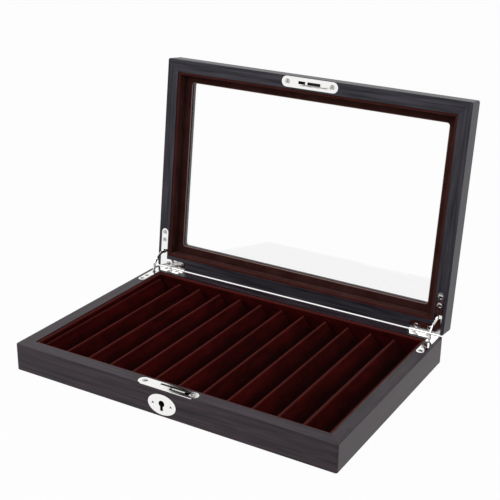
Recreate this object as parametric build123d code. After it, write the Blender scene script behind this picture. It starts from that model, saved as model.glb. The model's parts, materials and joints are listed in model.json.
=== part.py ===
from build123d import *
import os
from math import asin, cos, degrees, hypot, radians, sin

# A pen chest: a shallow wooden box with a glazed lid that stands open on two
# quadrant hinges. Twelve velvet slots run front to back. All sizes in mm.
# X runs to the right, Y to the back, Z up. The origin is the middle of the
# felt's lower face, on which the chest stands.

# Box
box_width = 340.0
box_depth = 230.0
base_height = 28.0
lid_height = 20.0
rail_thickness = 13.0
corner_radius = 2.0
edge_radius = 0.5
seam_gap = 0.3
open_angle = 96.5

# Bottom
bottom_thickness = 3.2
bottom_gap = 0.15
rebate_depth = 4.0
felt_thickness = 0.8
felt_inset = 2.0

# Lining
liner_thickness = 3.0
liner_drop = 1.0
velvet_thickness = 0.7
fit_gap = 0.3

# Pen tray
tray_board_thickness = 3.2
ridge_pitch = 25.4
ridge_height = 14.1
ridge_crest = 0.6
valley_width = 3.0
ridge_end_gap = 2.0

# Lid
top_thickness = 4.0
window_margin = 24.5
window_radius = 3.0
inner_frame_thickness = 3.6
glass_thickness = 2.0
glass_overlap = 6.0
glass_gap = 0.4

# Hinges
leaf_thickness = 1.0
leaf_inset = 3.5
leaf_gap = 0.5
side_leg_width = 8.0
side_leg_length = 43.3
back_leg_width = 9.0
back_leg_length = 32.0
knuckle_radius = 1.25
knuckle_gap = 0.2
pin_radius = 0.7
pin_gap = 0.05
pin_offset = 0.5
hinge_screw_head = 2.1
screw_sink = 0.25
screw_ring = 0.4
cross_length = 1.3
cross_width = 0.5
hinge_screw_shank = 0.95
hinge_screw_length = 9.0
hinge_screw_inset = 4.2
hinge_screw_pitch = 8.7
back_screw_pitch = 14.3
back_screw_shift = 2.5
side_end_flat = 0.05
back_end_flat = 0.3

# Stay arm
arm_radius = 17.8
arm_width = 3.2
arm_thickness = 1.0
arm_tail_angle = 3.5
arm_gap = 0.6
stud_radius = 0.9
stud_length = 5.0
stop_gap = 0.1
nub_radius = 1.2
nub_height = 1.0
pocket_end_angle = 3.0

# Lock
lock_x = 0.5
plate_length = 63.0
plate_width = 11.0
plate_thickness = 1.0
plate_setback = 0.4
plate_screw_pitch = 50.0
plate_screw_head = 2.3
plate_end_flat = 0.05
case_length = 43.0
case_end_gap = 2.0
case_thickness = 7.2
case_setback = 2.7
case_floor_rise = 3.0
sheet = 0.9
opening_left = 2.8
opening_right = 22.8
opening_front = 3.0
opening_width = 6.5
tongue_slot_left = -9.0
tongue_slot_width = 2.4
bolt_thickness = 1.6
bolt_setback = 5.8
bolt_left = -10.0
bolt_right = 17.5
bolt_bar_left = 3.7
bolt_bar_length = 13.8
bolt_height = 6.0
bolt_bar_drop = 0.4
bolt_travel = 4.5
key_notch_depth = 1.5
post_radius = 1.2
post_gap = 0.1
post_pitch = 8.0
post_inset = 3.0
bolt_stud_radius = 0.8
bolt_stud_gap = 0.3
bolt_stud_inset = 1.4
bolt_stud_pitch = 7.0
bolt_stud_drop = 3.8
spring_thickness = 0.4
spring_width = 3.0
spring_gap = 1.5

# Strike
strike_x = 0.0
tongue_left = -8.0
tongue_right = 19.5
tongue_length = 6.5
tongue_thickness = 1.0
window_front = 4.1
window_width = 3.0
short_window_left = -12.7
short_window_length = 7.7
long_window_left = -2.5
long_window_length = 14.5
strike_recess = 4.0

# Key plate
key_plate_width = 29.5
key_plate_height = 20.0
key_plate_thickness = 0.8
key_plate_x = -2.3
key_plate_drop = 1.0
key_plate_bevel = 1.3
key_plate_edge = 0.4
key_hole_radius = 3.1
key_hole_rise = 1.1
key_slot_width = 3.0
key_slot_drop = 7.0
nail_pitch = 19.0
nail_head = 0.9
nail_ring = 0.4
nail_shank = 0.5
nail_end_gap = 0.5

# Worked out from the sizes above
half_width = box_width / 2
half_depth = box_depth / 2
inner_width = box_width - 2 * rail_thickness
inner_depth = box_depth - 2 * rail_thickness
panel_top = felt_thickness + bottom_thickness
lid_floor = base_height + seam_gap
lid_top = lid_floor + lid_height
lid_rail_top = lid_top - top_thickness
frame_floor = lid_rail_top - inner_frame_thickness
tray_width = inner_width - 2 * (liner_thickness + fit_gap)
tray_depth = inner_depth - 2 * (liner_thickness + fit_gap)
ridge_floor = panel_top + tray_board_thickness
slot_count = int(tray_width // ridge_pitch)
ridge_half_base = (ridge_pitch - valley_width) / 2
ridge_length = tray_depth - 2 * ridge_end_gap
pin_y = half_depth + pin_offset
pin_z = base_height + seam_gap / 2
leaf_edge = half_width - leaf_inset
arm_x = leaf_edge - side_leg_width / 2
stud_drop = leaf_thickness + seam_gap / 2 + stud_radius + stop_gap
stud_angle = degrees(asin(stud_drop / arm_radius))
arm_end_angle = stud_angle + arm_tail_angle
pocket_angle = open_angle / 2 + arm_end_angle + pocket_end_angle
plate_front = -half_depth + plate_setback
plate_middle = plate_front + plate_width / 2
case_front = -half_depth + case_setback
case_back = case_front + case_thickness
case_top = base_height - plate_thickness
case_floor = panel_top + case_floor_rise
case_right = lock_x + plate_screw_pitch / 2 - case_end_gap
case_left = case_right - case_length
bolt_front = -half_depth + bolt_setback
bolt_back = bolt_front + bolt_thickness
tongue_front = bolt_back + bolt_stud_gap
tongue_back = tongue_front + tongue_thickness
stud_z = base_height - bolt_stud_drop
bolt_top = stud_z - bolt_stud_radius - bolt_stud_gap
bolt_bottom = bolt_top - bolt_height
key_plate_z = base_height / 2 - key_plate_drop
key_x = key_plate_x
key_z = key_plate_z + key_hole_rise
nail_sink = key_plate_thickness / 2
nail_reach = case_setback - nail_end_gap
nail_length = nail_sink + nail_reach


def block(x0, x1, y0, y1, z0, z1):
    """A box from its lowest to its highest corner."""
    size = Box(x1 - x0, y1 - y0, z1 - z0)
    return Pos((x0 + x1) / 2, (y0 + y1) / 2, (z0 + z1) / 2) * size


def prism(face, z0, z1):
    """A flat face, drawn at z = 0, made solid from z0 to z1."""
    return Pos(0, 0, z0) * extrude(face, z1 - z0, dir=(0, 0, 1))


def ring(width, depth, wall, z0, z1):
    """Four walls round a rectangle, with square corners."""
    face = Rectangle(width, depth) - Rectangle(width - 2 * wall, depth - 2 * wall)
    return prism(face, z0, z1)


def mitred(walls, width, depth, wall, side):
    """One board of a ring, cut at 45 degrees through both of its corners."""
    reach = 1.0
    x, y = width / 2 + reach, depth / 2 + reach
    deep = wall + reach
    outlines = {
        "front": [(-x, -y), (x, -y), (x - deep, deep - y), (deep - x, deep - y)],
        "back": [(-x, y), (x, y), (x - deep, y - deep), (deep - x, y - deep)],
        "left": [(-x, -y), (-x, y), (deep - x, y - deep), (deep - x, deep - y)],
        "right": [(x, -y), (x, y), (x - deep, y - deep), (x - deep, deep - y)],
    }
    face = make_face(Polyline(outlines[side], close=True))
    low = walls.bounding_box().min.Z - reach
    high = walls.bounding_box().max.Z + reach
    return walls & prism(face, low, high)


def turned_up(shape):
    """From the closed lid to the lid as it stands open."""
    return shape.rotate(Axis((0, pin_y, pin_z), (1, 0, 0)), -open_angle)


def both_sides(shape):
    """The right-hand piece with its mirror image on the left."""
    return shape + mirror(shape, about=Plane.YZ)


def across_seam(shape):
    """A piece drawn for the base, mirrored to the same place on the closed lid."""
    return mirror(shape, about=Plane.XY.offset(pin_z))


# ---- hinges, drawn for the right side


def leg_outline(grow):
    """L-shaped outline of a leaf, with rounded ends."""
    side = Pos(arm_x, half_depth - side_leg_length / 2) * RectangleRounded(
        side_leg_width + 2 * grow, side_leg_length + 2 * grow, side_leg_width / 2 - side_end_flat
    )
    back_x = leaf_edge - back_leg_length / 2
    back = Pos(back_x, half_depth - back_leg_width / 2) * RectangleRounded(
        back_leg_length + 2 * grow, back_leg_width + 2 * grow, back_leg_width / 2 - back_end_flat
    )
    heel_x = leaf_edge - side_leg_width / 2
    heel = Pos(heel_x, half_depth - back_leg_width / 2) * Rectangle(
        side_leg_width + 2 * grow, back_leg_width + 2 * grow
    )
    root_x = leaf_edge - back_leg_length / 2
    root = Pos(root_x, half_depth - back_leg_width / 4) * Rectangle(
        back_leg_length + 2 * grow, back_leg_width / 2 + 2 * grow
    )
    return side + back + heel + root


def screw_places():
    """Centres of a leaf's four screws."""
    first = half_depth - side_leg_length + hinge_screw_inset
    outer = leaf_edge - back_leg_length + hinge_screw_inset + back_screw_shift
    back_y = half_depth - back_leg_width / 2
    return [
        (arm_x, first),
        (arm_x, first + hinge_screw_pitch),
        (outer, back_y),
        (outer + back_screw_pitch, back_y),
    ]


def low_dome(radius, height):
    """A spherical cap that stands on z = 0."""
    ball = (radius**2 + height**2) / (2 * height)
    keep = Pos(0, 0, ball) * Box(2 * ball, 2 * ball, 2 * ball)
    return Pos(0, 0, height - ball) * Sphere(ball) & keep


def countersunk(head, shank, length, depth):
    """A screw whose low domed head ends just under z = 0, with its cross recess."""
    cone = Pos(0, 0, -(depth + screw_sink) / 2) * Cone(shank, head, depth - screw_sink)
    rod = Pos(0, 0, -(length + screw_sink) / 2) * Cylinder(shank, length - screw_sink)
    dome = Pos(0, 0, -screw_sink) * low_dome(head, screw_sink - pin_gap)
    reach = cross_length * head
    cross = Box(reach, cross_width, depth) + Box(cross_width, reach, depth)
    return cone + rod + dome - cross


def countersink(head, shank, depth):
    """The hole that such a screw sits in, wider at the top than the head."""
    cone = Pos(0, 0, -(depth + screw_sink) / 2) * Cone(shank + pin_gap, head + screw_ring,
                                                       depth - screw_sink)
    return cone + Pos(0, 0, -screw_sink / 2) * Cylinder(head + screw_ring, screw_sink)


def arc_slice(inner, outer, x0, x1, from_angle, to_angle):
    """A slice about the hinge pin. An angle of 0 points to the front, 90 up."""
    face = Pos((x0 + x1) / 2, -(inner + outer) / 2) * Rectangle(x1 - x0, outer - inner)
    solid = revolve(face, Axis((0, 0, 0), (-1, 0, 0)), to_angle - from_angle)
    return Pos(0, pin_y, pin_z) * Rot(-from_angle, 0, 0) * solid


def arm_point(angle):
    """Where the arm's middle line lies at this angle about the pin."""
    swing = radians(angle)
    return pin_y - arm_radius * cos(swing), pin_z + arm_radius * sin(swing)


def arm_pocket():
    """The curved pocket below the leaf, in which the arm runs."""
    wide = stud_length / 2 + arm_gap
    deep = arm_width / 2 + arm_gap
    return arc_slice(arm_radius - deep, arm_radius + deep, arm_x - wide, arm_x + wide,
                     -pocket_angle, 1.0)


def arm_slot():
    """The slot through the leaf: wide enough for the nub in the arm's middle."""
    deep = arm_width / 2 + arm_gap
    y = pin_y - arm_radius
    return block(arm_x - arm_thickness / 2 - nub_height - fit_gap, arm_x + arm_thickness / 2 + fit_gap,
                 y - deep, y + deep, base_height - 2 * leaf_thickness, base_height + 1.0)


def stay_arm():
    """Quadrant arm: a curved strip with a stop stud at each end and a nub."""
    half = arm_width / 2
    thick = arm_thickness / 2
    arm = arc_slice(arm_radius - half, arm_radius + half, arm_x - thick, arm_x + thick,
                    -arm_end_angle, open_angle + arm_end_angle)
    for angle in (-stud_angle, open_angle + stud_angle):
        y, z = arm_point(angle)
        arm += Pos(arm_x, y, z) * Rot(0, 90, 0) * Cylinder(stud_radius, stud_length)
    y, z = arm_point(open_angle / 2)
    nub_x = arm_x - thick - nub_height / 2
    arm += Pos(nub_x, y, z) * Rot(0, 90, 0) * Cylinder(nub_radius, nub_height)
    return arm


def rod_along_x(x0, x1, radius):
    """A round bar on the hinge pin's axis."""
    bar = Rot(0, 90, 0) * Cylinder(radius, x1 - x0)
    return Pos((x0 + x1) / 2, pin_y, pin_z) * bar


def knuckle_spans(own):
    """The lengths of the base's two outer knuckles, or of the lid's middle one."""
    start = leaf_edge - back_leg_length
    third = back_leg_length / 3
    half = knuckle_gap / 2
    if own == "base":
        return [(start, start + third - half), (leaf_edge - third + half, leaf_edge)]
    return [(start + third + half, leaf_edge - third - half)]


def leaf(own):
    """One leaf as it lies in the base: plate, knuckles, slot and screw holes."""
    other = "lid" if own == "base" else "base"
    low = base_height - leaf_thickness
    plate = prism(leg_outline(0), low, base_height)
    for x0, x1 in knuckle_spans(other):
        plate -= rod_along_x(x0 - knuckle_gap, x1 + knuckle_gap, knuckle_radius + knuckle_gap)
    for x0, x1 in knuckle_spans(own):
        plate += block(x0, x1, half_depth - 1.0, pin_y, low, base_height)
        plate += rod_along_x(x0, x1, knuckle_radius)
    plate -= rod_along_x(leaf_edge - back_leg_length - 1.0, leaf_edge + 1.0, pin_radius + pin_gap)
    plate -= arm_slot()
    for x, y in screw_places():
        plate -= Pos(x, y, base_height) * countersink(hinge_screw_head, hinge_screw_shank, leaf_thickness)
    return plate


def leaf_seat():
    """What a leaf needs cut out of the wood: its bed, knuckle room, pocket, pilot holes."""
    seat = prism(leg_outline(leaf_gap), base_height - leaf_thickness, base_height + 1.0)
    room = knuckle_radius + fit_gap
    seat += rod_along_x(leaf_edge - back_leg_length - fit_gap, leaf_edge + fit_gap, room)
    seat += arm_pocket()
    for x, y in screw_places():
        seat += screw_bore(x, y, hinge_screw_shank, hinge_screw_length)
    return seat


def screw_bore(x, y, shank, length):
    """A pilot hole down from the rim."""
    hole = Cylinder(shank + pin_gap, length + fit_gap)
    return Pos(x, y, base_height - (length + fit_gap) / 2) * hole


def hinge_screws():
    """The four screws of one leaf."""
    screws = []
    for x, y in screw_places():
        one = countersunk(hinge_screw_head, hinge_screw_shank, hinge_screw_length, leaf_thickness)
        screws.append(Pos(x, y, base_height) * one)
    return screws


# ---- lock and strike


def plate_outline(centre_x, grow):
    """Long plate with round ends."""
    return Pos(centre_x, plate_middle) * RectangleRounded(
        plate_length + 2 * grow, plate_width + 2 * grow, plate_width / 2 - plate_end_flat
    )


def plate_screw_places(centre_x):
    return [(centre_x + side * plate_screw_pitch / 2, plate_middle) for side in (-1, 1)]


def plate_with_holes(centre_x):
    """A plate in the base's rim, with two countersunk holes."""
    plate = prism(plate_outline(centre_x, 0), base_height - plate_thickness, base_height)
    for x, y in plate_screw_places(centre_x):
        hole = countersink(plate_screw_head, hinge_screw_shank, plate_thickness)
        plate -= Pos(x, y, base_height) * hole
    return plate


def lock_opening():
    """The opening of the lock plate, with the narrow slot beside it for the tongue."""
    low, high = base_height - 2 * plate_thickness, base_height + 1.0
    front = -half_depth + opening_front
    back = front + opening_width
    room = block(opening_left, opening_right, front, back, low, high)
    return room + block(tongue_slot_left, opening_left + 1.0, back - tongue_slot_width, back, low, high)


def lock_plate():
    return plate_with_holes(lock_x) - lock_opening()


def lock_case():
    """Bent sheet box: front, bottom and two ends, open to the back and the top."""
    case = block(case_left, case_right, case_front, case_back - sheet, case_floor, case_top)
    case -= block(case_left + sheet, case_right - sheet, case_front + sheet, case_back,
                  case_floor + sheet, case_top + 1.0)
    return case - key_opening(case_front - 1.0, case_front + sheet + 1.0)


def lock_cover():
    """Sheet that closes the case at the back."""
    return block(case_left, case_right, case_back - sheet, case_back, case_floor, case_top)


def post_places():
    last = bolt_right - post_inset
    z = (bolt_top + bolt_bottom) / 2
    return [(last - post_pitch, z), (last, z)]


def lock_posts():
    """Two posts between case and cover that guide the bolt."""
    length = case_thickness - 2 * sheet
    y = case_front + sheet + length / 2
    return [Pos(x, y, z) * Rot(90, 0, 0) * Cylinder(post_radius, length) for x, z in post_places()]


def lock_bolt():
    """Flat bolt with two guide slots, the key's notch, a top bar and two studs."""
    bolt = block(bolt_left, bolt_right, bolt_front, bolt_back, bolt_bottom, bolt_top)
    bar_right = bolt_bar_left + bolt_bar_length
    bolt += block(bolt_bar_left, bar_right, bolt_front, bolt_back,
                  bolt_top - 1.0, base_height - bolt_bar_drop)
    for x, z in post_places():
        tall = post_radius + post_gap
        bolt -= block(x - tall - bolt_travel, x + tall, bolt_front - 1, bolt_back + 1, z - tall, z + tall)
    notch = bolt_travel / 2
    bolt -= block(key_x - notch, key_x + notch, bolt_front - 1, bolt_back + 1,
                  bolt_bottom - 1, bolt_bottom + key_notch_depth)
    for x in stud_places():
        stud = Cylinder(bolt_stud_radius, stud_reach())
        bolt += Pos(x, bolt_back + stud_reach() / 2, stud_z) * Rot(90, 0, 0) * stud
    return bolt


def stud_reach():
    """A stud reaches through the tongue."""
    return tongue_back - bolt_back + bolt_stud_gap / 2


def stud_places():
    first = bolt_bar_left + bolt_stud_inset
    return [first, first + bolt_stud_pitch]


def bolt_spring():
    """A bowed strip that rests on the case's floor and presses up at the bolt."""
    low = case_floor + sheet
    high = bolt_bottom - fit_gap
    left = key_x + key_hole_radius + spring_gap
    right = case_right - sheet - spring_gap
    middle_x = (left + right) / 2
    outer = ThreePointArc((left, low), (middle_x, high), (right, low))
    inner = ThreePointArc((left + spring_thickness, low), (middle_x, high - spring_thickness),
                          (right - spring_thickness, low))
    feet = Line((left, low), (left + spring_thickness, low))
    feet_end = Line((right - spring_thickness, low), (right, low))
    face = make_face([outer, inner, feet, feet_end])
    y = case_front + sheet + (case_thickness - 2 * sheet - spring_width) / 2
    solid = extrude(face, spring_width, dir=(0, 0, 1))
    return Pos(0, y + spring_width, 0) * Rot(90, 0, 0) * solid


def tongue():
    """Tongue of the strike: it drops behind the bolt, whose studs run in its notches."""
    low = lid_floor - tongue_length
    strip = block(tongue_left, tongue_right, tongue_front, tongue_back, low, lid_floor + plate_thickness)
    room = bolt_stud_radius + bolt_stud_gap
    for x in stud_places():
        strip -= block(x - room, x + room, tongue_front - 1, tongue_back + 1, low - 1, stud_z + room)
        strip -= block(x, x + room + bolt_travel, tongue_front - 1, tongue_back + 1,
                       stud_z - room, stud_z + room)
    return strip


def strike_plate():
    """Plate in the lid's rim with two windows and the tongue."""
    plate = across_seam(plate_with_holes(strike_x))
    front = -half_depth + window_front
    for left, length in ((short_window_left, short_window_length), (long_window_left, long_window_length)):
        plate -= block(left, left + length, front, front + window_width,
                       lid_floor - 1.0, lid_floor + plate_thickness + 1.0)
    return plate + tongue()


def strike_seat():
    """The strike's bed in the lid, with a recess behind its windows."""
    seat = prism(plate_outline(strike_x, leaf_gap), base_height - plate_thickness, base_height + 1.0)
    for x, y in plate_screw_places(strike_x):
        seat += screw_bore(x, y, hinge_screw_shank, hinge_screw_length)
    left = short_window_left - 1.0
    right = long_window_left + long_window_length + 1.0
    front = -half_depth + window_front - 1.0
    seat += block(left, right, front, tongue_back + 1.0,
                  base_height - plate_thickness - strike_recess, base_height)
    return across_seam(seat)


def lock_seat():
    """The mortise for plate and case in the front rail."""
    seat = prism(plate_outline(lock_x, leaf_gap), base_height - plate_thickness, base_height + 1.0)
    seat += block(case_left - leaf_gap, case_right + leaf_gap, case_front - leaf_gap,
                  case_back + leaf_gap, case_floor - leaf_gap, base_height)
    for x, y in plate_screw_places(lock_x):
        seat += screw_bore(x, y, hinge_screw_shank, hinge_screw_length)
    seat += key_opening(-half_depth - 1.0, case_front + 1.0)
    for x, z in nail_places():
        hole = Rot(90, 0, 0) * Cylinder(nail_shank + pin_gap, 2 * nail_reach)
        seat += Pos(x, -half_depth, z) * hole
    return seat


def plate_screws(centre_x):
    screws = []
    for x, y in plate_screw_places(centre_x):
        one = countersunk(plate_screw_head, hinge_screw_shank, hinge_screw_length, plate_thickness)
        screws.append(Pos(x, y, base_height) * one)
    return screws


def key_opening(y0, y1):
    """Keyhole from y0 to y1: a round head over a straight slot."""
    face = Pos(key_x, key_z) * Circle(key_hole_radius)
    slot = key_slot_drop
    face += Pos(key_x, key_z - slot / 2) * Rectangle(key_slot_width, slot)
    hole = extrude(face, y1 - y0, dir=(0, 0, 1))
    return Pos(0, y1, 0) * Rot(90, 0, 0) * hole


def nail_places():
    return [(key_x + side * nail_pitch / 2, key_plate_z) for side in (-1, 1)]


def escutcheon():
    """Oval key plate with a bevelled rim."""
    face = Ellipse(key_plate_width / 2, key_plate_height / 2)
    plate = extrude(face, key_plate_thickness, dir=(0, 0, 1))
    top = plate.faces().sort_by(Axis.Z)[-1]
    plate = chamfer(top.edges(), key_plate_bevel, key_plate_thickness - key_plate_edge, reference=top)
    plate = Pos(key_plate_x, -half_depth, key_plate_z) * Rot(90, 0, 0) * plate
    front = -half_depth - key_plate_thickness
    plate -= key_opening(front - 1.0, -half_depth + 1.0)
    for x, z in nail_places():
        hole = Rot(90, 0, 0) * Cylinder(nail_shank + pin_gap, 4 * key_plate_thickness)
        sink = Pos(0, 0, -nail_sink / 2) * Cone(nail_head, nail_head + nail_ring, nail_sink)
        plate -= Pos(x, -half_depth, z) * hole
        plate -= Pos(x, front, z) * Rot(90, 0, 0) * sink
    return plate


def escutcheon_nails():
    """Two nails with low domed heads, sunk in the key plate."""
    seat = -half_depth - key_plate_thickness + nail_sink
    nails = []
    for x, z in nail_places():
        shank = Pos(0, 0, -nail_length / 2) * Cylinder(nail_shank, nail_length)
        nail = shank + low_dome(nail_head - pin_gap, nail_sink)
        nails.append(Pos(x, seat, z) * Rot(90, 0, 0) * nail)
    return nails


# ---- wooden parts


def outer_block(z0, z1, round_bottom, round_top):
    """The outside of the box between two heights, with its edges eased."""
    body = block(-half_width, half_width, -half_depth, half_depth, z0, z1)
    body = fillet(body.edges().filter_by(Axis.Z), corner_radius)
    if round_top:
        body = fillet(body.faces().sort_by(Axis.Z)[-1].edges(), edge_radius)
    if round_bottom:
        body = fillet(body.faces().sort_by(Axis.Z)[0].edges(), edge_radius)
    return body


def base_walls():
    """The base's four rails in one ring, with every cut that the fittings need."""
    walls = outer_block(felt_thickness, base_height, True, True)
    walls -= block(-inner_width / 2, inner_width / 2, -inner_depth / 2, inner_depth / 2,
                   -1.0, base_height + 1.0)
    reach_x = inner_width / 2 + rebate_depth
    reach_y = inner_depth / 2 + rebate_depth
    walls -= block(-reach_x, reach_x, -reach_y, reach_y, 0, panel_top)
    walls -= both_sides(leaf_seat())
    return walls - lock_seat()


def lid_walls():
    """The lid's four rails in one ring, drawn with the lid closed."""
    walls = outer_block(lid_floor, lid_rail_top, True, False)
    walls -= block(-inner_width / 2, inner_width / 2, -inner_depth / 2, inner_depth / 2,
                   lid_floor - 1.0, lid_rail_top + 1.0)
    walls -= across_seam(both_sides(leaf_seat()))
    return walls - strike_seat()


def window_face():
    """The window's outline."""
    return RectangleRounded(box_width - 2 * window_margin, box_depth - 2 * window_margin, window_radius)


def lid_top_panel():
    """Top of the lid with its window."""
    panel = outer_block(lid_rail_top, lid_top, False, True)
    panel -= prism(window_face(), lid_rail_top - 1.0, lid_top + 1.0)
    return panel - across_seam(both_sides(leaf_seat()))


def glass_outline(grow):
    width = box_width - 2 * window_margin + 2 * (glass_overlap + grow)
    depth = box_depth - 2 * window_margin + 2 * (glass_overlap + grow)
    return Rectangle(width, depth)


def lid_inner_frame():
    """Velvet covered frame under the top, rebated for the glass."""
    face = Rectangle(inner_width - 2 * fit_gap, inner_depth - 2 * fit_gap) - window_face()
    frame = prism(face, frame_floor, lid_rail_top)
    return frame - prism(glass_outline(glass_gap), lid_rail_top - glass_thickness, lid_rail_top + 1.0)


def glass_pane():
    return prism(glass_outline(0), lid_rail_top - glass_thickness, lid_rail_top)


def liner_ring(z0, z1):
    return ring(inner_width, inner_depth, liner_thickness, z0, z1)


# ---- pen tray


def ridge_face(half_base, crest, low, high):
    """Cross-section of a ridge, drawn with its height along Y."""
    return [(-half_base, low), (-crest / 2, high), (crest / 2, high), (half_base, low)]


def ridge_places():
    """Middle lines of the full ridges."""
    first = -(slot_count / 2 - 1) * ridge_pitch
    return [first + step * ridge_pitch for step in range(slot_count - 1)]


def upright(face, length):
    """A cross-section in X and Z made into a bar along Y, centred front to back."""
    bar = extrude(face, length, dir=(0, 0, 1))
    return Pos(0, length / 2, 0) * Rot(90, 0, 0) * bar


def ridge_bar(x):
    points = ridge_face(ridge_half_base, ridge_crest, ridge_floor, ridge_floor + ridge_height)
    face = make_face(Polyline([(x + px, pz) for px, pz in points], close=True))
    return upright(face, ridge_length)


def end_ridge(side):
    """Half a ridge, whose upright side stands at the liner."""
    wall = side * tray_width / 2
    inside = Pos(-side * box_width / 2 + wall, 0, 0) * Box(box_width, box_depth, 4 * base_height)
    return ridge_bar(wall) & inside


def velvet_shift():
    """How far a flank moves sideways when velvet is laid on it."""
    run = ridge_half_base - ridge_crest / 2
    return velvet_thickness * (hypot(run, ridge_height) - run) / ridge_height


def tray_velvet():
    """The velvet over board and ridges, one sheet that follows every flank."""
    low = ridge_floor + velvet_thickness
    shift = velvet_shift()
    crest = ridge_crest + 2 * shift
    sheet_solid = upright(velvet_section(low, crest, shift), ridge_length)
    edge = tray_depth / 2
    for y0, y1 in ((-edge, -ridge_length / 2), (ridge_length / 2, edge)):
        sheet_solid += block(-tray_width / 2, tray_width / 2, y0, y1, ridge_floor, low)
    for x in ridge_places():
        sheet_solid -= ridge_bar(x)
    for side in (-1, 1):
        sheet_solid -= end_ridge(side)
    return sheet_solid


def velvet_section(low, crest, shift):
    """Outline of the covered tray above the board, from wall to wall."""
    half = tray_width / 2
    high = ridge_floor + ridge_height + velvet_thickness
    points = [(-half, ridge_floor), (-half, high), (-half + crest / 2, high)]
    points.append((-half + ridge_half_base + shift, low))
    for x in ridge_places():
        points += [(x + px, pz) for px, pz in ridge_face(ridge_half_base + shift, crest, low, high)]
        # each flank ends level with the velvet in the valley
    points += [(half - ridge_half_base - shift, low), (half - crest / 2, high), (half, high)]
    points.append((half, ridge_floor))
    return make_face(Polyline(points, close=True))


# ---- all pieces by name


def wooden_parts():
    base = base_walls()
    lid = lid_walls()
    parts = {}
    for side in ("front", "back", "left", "right"):
        parts[f"base_{side}_rail"] = mitred(base, box_width, box_depth, rail_thickness, side)
        rail = mitred(lid, box_width, box_depth, rail_thickness, side)
        parts[f"lid_{side}_rail"] = turned_up(rail)
    grip = 2 * (rebate_depth - bottom_gap)
    parts["base_bottom_panel"] = prism(Rectangle(inner_width + grip, inner_depth + grip),
                                       felt_thickness, panel_top)
    felt = RectangleRounded(box_width - 2 * felt_inset, box_depth - 2 * felt_inset, corner_radius)
    parts["base_felt"] = prism(felt, 0, felt_thickness)
    parts["lid_top_panel"] = turned_up(lid_top_panel())
    parts["lid_inner_frame"] = turned_up(lid_inner_frame())
    parts["glass_pane"] = turned_up(glass_pane())
    return parts


def lining_parts():
    parts = {}
    base = liner_ring(panel_top, base_height - liner_drop)
    lid = liner_ring(lid_floor + liner_drop, frame_floor)
    for side in ("front", "back", "left", "right"):
        size = (inner_width, inner_depth, liner_thickness, side)
        parts[f"base_liner_{side}"] = mitred(base, *size)
        parts[f"lid_liner_{side}"] = turned_up(mitred(lid, *size))
    parts["tray_board"] = prism(Rectangle(tray_width, tray_depth), panel_top, ridge_floor)
    for number, x in enumerate(ridge_places(), start=1):
        parts[f"pen_ridge_{number:02d}"] = ridge_bar(x)
    parts["end_ridge_left"] = end_ridge(-1)
    parts["end_ridge_right"] = end_ridge(1)
    parts["tray_velvet"] = tray_velvet()
    return parts


def hinge_parts():
    pin = rod_along_x(leaf_edge - back_leg_length, leaf_edge, pin_radius)
    right = {
        "hinge_base_leaf": leaf("base"),
        "hinge_lid_leaf": turned_up(across_seam(leaf("lid"))),
        "hinge_pin": pin,
        "stay_arm": stay_arm(),
        "hinge_base_screws": Compound(hinge_screws()),
        "hinge_lid_screws": Compound([turned_up(across_seam(one)) for one in hinge_screws()]),
    }
    parts = {}
    for name, shape in right.items():
        parts[f"{name}_right"] = shape
        parts[f"{name}_left"] = mirror(shape, about=Plane.YZ)
    return parts


def lock_parts():
    strike_screws = [turned_up(across_seam(one)) for one in plate_screws(strike_x)]
    return {
        "lock_plate": lock_plate(),
        "lock_case": lock_case(),
        "lock_cover": lock_cover(),
        "lock_posts": Compound(lock_posts()),
        "lock_bolt": lock_bolt(),
        "bolt_spring": bolt_spring(),
        "lock_screws": Compound(plate_screws(lock_x)),
        "escutcheon": escutcheon(),
        "escutcheon_nails": Compound(escutcheon_nails()),
        "strike_plate": turned_up(strike_plate()),
        "strike_screws": Compound(strike_screws),
    }


os.makedirs("parts", exist_ok=True)
for group in (wooden_parts(), lining_parts(), hinge_parts(), lock_parts()):
    for name, shape in group.items():
        export_step(shape, f"parts/{name}.step")
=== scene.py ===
"""Dresses the pen chest: satin black wood, velvet lining, nickel fittings, glass."""

import json
from math import cos, hypot, pi, radians, sin, sqrt

import bpy
from bpy.props import FloatProperty, FloatVectorProperty, IntProperty, PointerProperty
from mathutils import Matrix, Vector, noise


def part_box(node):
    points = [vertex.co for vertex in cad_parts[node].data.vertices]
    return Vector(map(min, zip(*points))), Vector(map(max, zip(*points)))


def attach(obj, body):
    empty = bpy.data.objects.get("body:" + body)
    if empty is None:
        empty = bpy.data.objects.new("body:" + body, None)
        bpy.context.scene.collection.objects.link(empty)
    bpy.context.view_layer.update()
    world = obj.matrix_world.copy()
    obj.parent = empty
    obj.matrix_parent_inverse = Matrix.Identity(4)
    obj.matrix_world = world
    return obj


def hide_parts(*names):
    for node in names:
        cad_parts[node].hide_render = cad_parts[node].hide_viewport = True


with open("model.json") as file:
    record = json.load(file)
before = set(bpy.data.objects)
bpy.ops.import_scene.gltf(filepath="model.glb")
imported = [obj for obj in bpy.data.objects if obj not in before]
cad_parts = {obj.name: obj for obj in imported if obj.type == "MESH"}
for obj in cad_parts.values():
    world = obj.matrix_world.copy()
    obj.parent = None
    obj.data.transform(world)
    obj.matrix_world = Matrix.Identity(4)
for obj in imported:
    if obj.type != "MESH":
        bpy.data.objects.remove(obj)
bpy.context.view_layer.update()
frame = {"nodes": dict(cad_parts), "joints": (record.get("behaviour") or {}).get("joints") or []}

bl_info = {
    "name": "Pen chest",
    "version": (1, 0, 0),
    "blender": (4, 5, 0),
    "location": "View3D > Sidebar > Pen chest",
    "description": "Finishes the pen chest's wood, metal and glass and makes its velvet lining",
    "category": "Object",
}

MM = 0.001
IMAGE_WIDTH = 500
SENSOR_WIDTH = 36.0

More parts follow.
